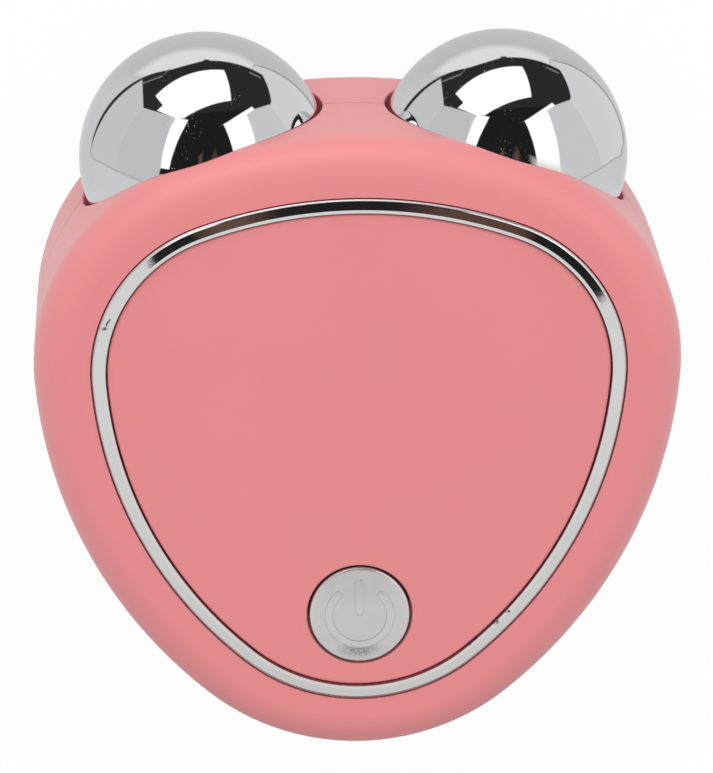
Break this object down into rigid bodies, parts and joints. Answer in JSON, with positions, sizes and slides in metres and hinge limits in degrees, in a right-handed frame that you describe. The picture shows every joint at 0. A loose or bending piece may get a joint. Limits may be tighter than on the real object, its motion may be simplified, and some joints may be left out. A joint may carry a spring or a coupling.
{
  "type": "facial toning device",
  "caption": "Palm-size facial toning device: rounded pink body, mirror-chrome balls that roll in sockets at one end, a chrome trim ring and a silver power button.",
  "frame": {"origin": "under the middle of the whole object, on the flat back face it rests on", "axes": "+Z out of the front face, +Y towards the ball end, +X to the right seen from the front; the body lies on its back"},
  "size_m": [0.064, 0.0706, 0.0309],
  "materials": {
    "soft_touch_pink": "soft-touch satin paint on moulded plastic",
    "trim_chrome": "polished chrome plating",
    "ball_chrome": "mirror chrome plating",
    "button_silver": "satin silver plating",
    "turned_aluminium": "turned",
    "ground_steel": "ground",
    "spring_steel": "blued spring steel",
    "bush_bronze": "sintered bronze",
    "seal_rubber": "black rubber",
    "contact_bronze": "bright strip",
    "lead_white": "insulated wire",
    "lead_red": "insulated wire",
    "lead_black": "insulated wire",
    "screw_steel": "zinc plated",
    "component_black": "moulded black",
    "plunger_white": "moulded white",
    "frame_nylon": "moulded natural nylon",
    "board_green": "solder mask",
    "coil_ferrite": "ferrite block",
    "capacitor_tan": "ceramic",
    "port_steel": "bright stamped shell",
    "cell_foil": "laminated foil pouch",
    "pad_foam": "closed-cell foam tape"
  },
  "bodies": {
    "housing": {"rear_shell": "soft_touch_pink", "front_shell": "soft_touch_pink", "front_panel": "soft_touch_pink", "trim_ring": "trim_chrome", "button_spring": "spring_steel", "switch_body": "component_black", "shaft_cradle": "frame_nylon", "cradle_cap": "frame_nylon", "circuit_board": "board_green", "control_chip": "component_black", "charge_chip": "component_black", "output_coil": "coil_ferrite", "board_capacitors": "capacitor_tan", "timer_buzzer": "component_black", "charge_port": "port_steel", "port_gasket": "seal_rubber", "battery": "cell_foil", "battery_pad": "pad_foam", "battery_lead_red": "lead_red", "battery_lead_black": "lead_black", "case_screws": "screw_steel", "cradle_screws": "screw_steel", "board_screws": "screw_steel", "left_bushes": "bush_bronze", "right_bushes": "bush_bronze", "left_seal": "seal_rubber", "right_seal": "seal_rubber", "left_contact": "contact_bronze", "right_contact": "contact_bronze", "left_lead": "lead_white", "right_lead": "lead_white"},
    "left_roller": {"left_ball": "ball_chrome", "left_hub": "turned_aluminium", "left_shaft": "ground_steel", "left_clip": "spring_steel"},
    "right_roller": {"right_ball": "ball_chrome", "right_hub": "turned_aluminium", "right_shaft": "ground_steel", "right_clip": "spring_steel"},
    "button": {"power_button": "button_silver"},
    "plunger": {"switch_plunger": "plunger_white"}
  },
  "joints": [
    {"name": "left_roll", "type": "hinge", "parent": "housing", "child": "left_roller", "pos_m": [-0.0149, 0.02283, 0.0149], "axis": [-0.4226, 0.9063, 0], "continuous": true},
    {"name": "right_roll", "type": "hinge", "parent": "housing", "child": "right_roller", "pos_m": [0.0149, 0.02283, 0.0149], "axis": [0.4226, 0.9063, 0], "continuous": true},
    {"name": "button_press", "type": "slide", "parent": "housing", "child": "button", "axis": [0, 0, -1], "range_m": [0, 0.0004], "stiffness_N_per_m": 1200, "springref_m": -0.0008, "deforming": ["button_spring"]},
    {"name": "plunger_press", "type": "slide", "parent": "housing", "child": "plunger", "axis": [0, 0, -1], "range_m": [0, 0.0004]}
  ],
  "couplings": [
    {"joint": "plunger_press", "follows": "button_press", "ratio": 1}
  ]
}
